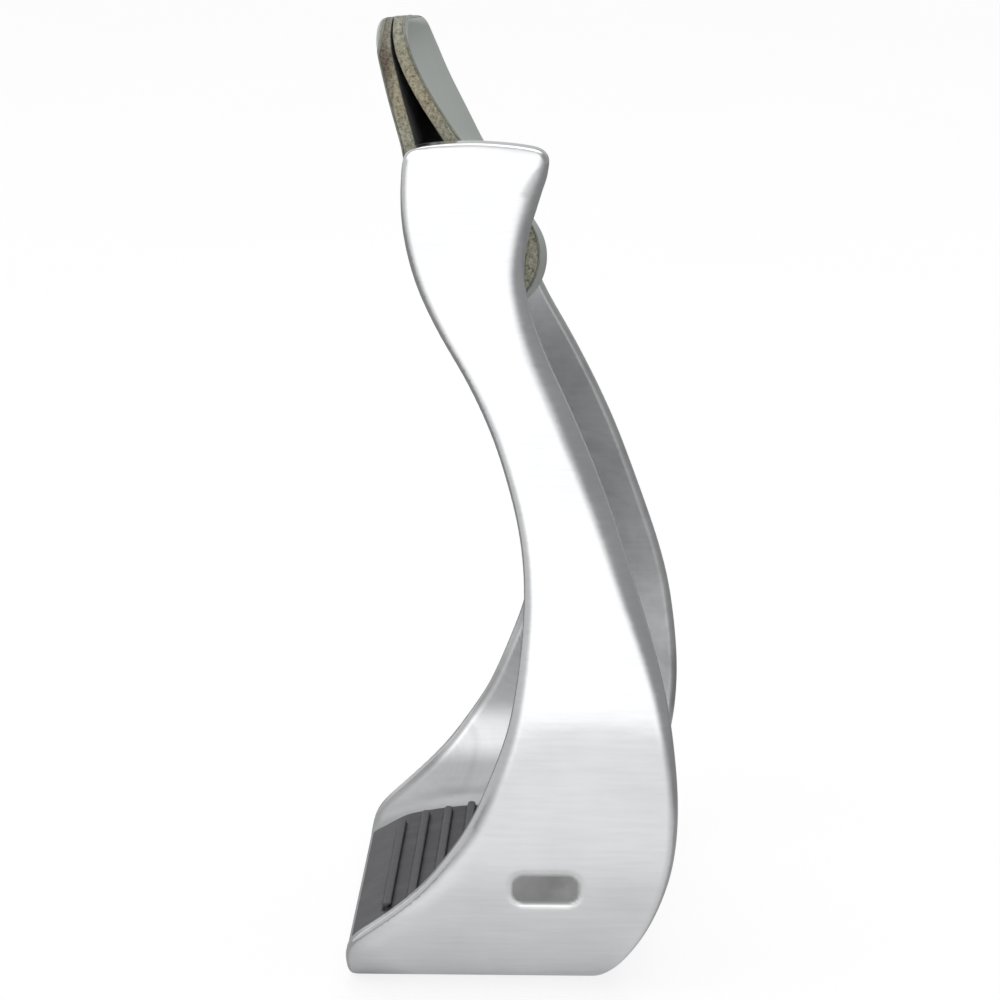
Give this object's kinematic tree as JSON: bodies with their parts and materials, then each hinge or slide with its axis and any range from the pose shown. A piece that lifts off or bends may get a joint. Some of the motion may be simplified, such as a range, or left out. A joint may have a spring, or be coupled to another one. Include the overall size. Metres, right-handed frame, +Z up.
{
  "type": "western stirrup",
  "caption": "Cast western stirrup with swept legs, a canted neck with a leather-wrapped roller on a bolt, and a ribbed rubber pad screwed to a crowned tread.",
  "frame": {"origin": "centre of the footprint box, on the surface that the tread rests on", "axes": "+X towards the toe side, +Y from the outer leg to the inner leg, +Z up"},
  "size_m": [0.0701, 0.1332, 0.2038],
  "materials": {
    "cast_aluminium": "polished casting with softly rounded, satin edges",
    "pad_rubber": "matte moulded rubber",
    "insert_brass": "machined",
    "screw_steel": "zinc plated",
    "bolt_steel": "stainless, machined",
    "washer_steel": "stainless, pressed",
    "roller_steel": "drawn tube",
    "bush_nylon": "natural nylon",
    "leather_core": "raw cut edge, dark flesh side",
    "leather_face": "smooth, finished grey-green grain"
  },
  "bodies": {
    "frame": {"stirrup_frame": "cast_aluminium", "tread_pad": "pad_rubber", "pad_inserts": "insert_brass", "pad_screws": "screw_steel", "neck_bolt": "bolt_steel", "bolt_washer": "washer_steel"},
    "roller": {"roller_sleeve": "roller_steel", "roller_bush_outer": "bush_nylon", "roller_bush_inner": "bush_nylon"},
    "leather": {"neck_leather": "leather_core", "leather_facing": "leather_face"}
  },
  "joints": [
    {"name": "roller_spin", "type": "hinge", "parent": "frame", "child": "roller", "pos_m": [-0.0069, 0, 0.1497], "axis": [0, 0.9871, -0.1599], "continuous": true},
    {"name": "leather_swing", "type": "hinge", "parent": "frame", "child": "leather", "pos_m": [-0.0069, 0, 0.1497], "axis": [0, 0.9871, -0.1599], "continuous": true}
  ]
}
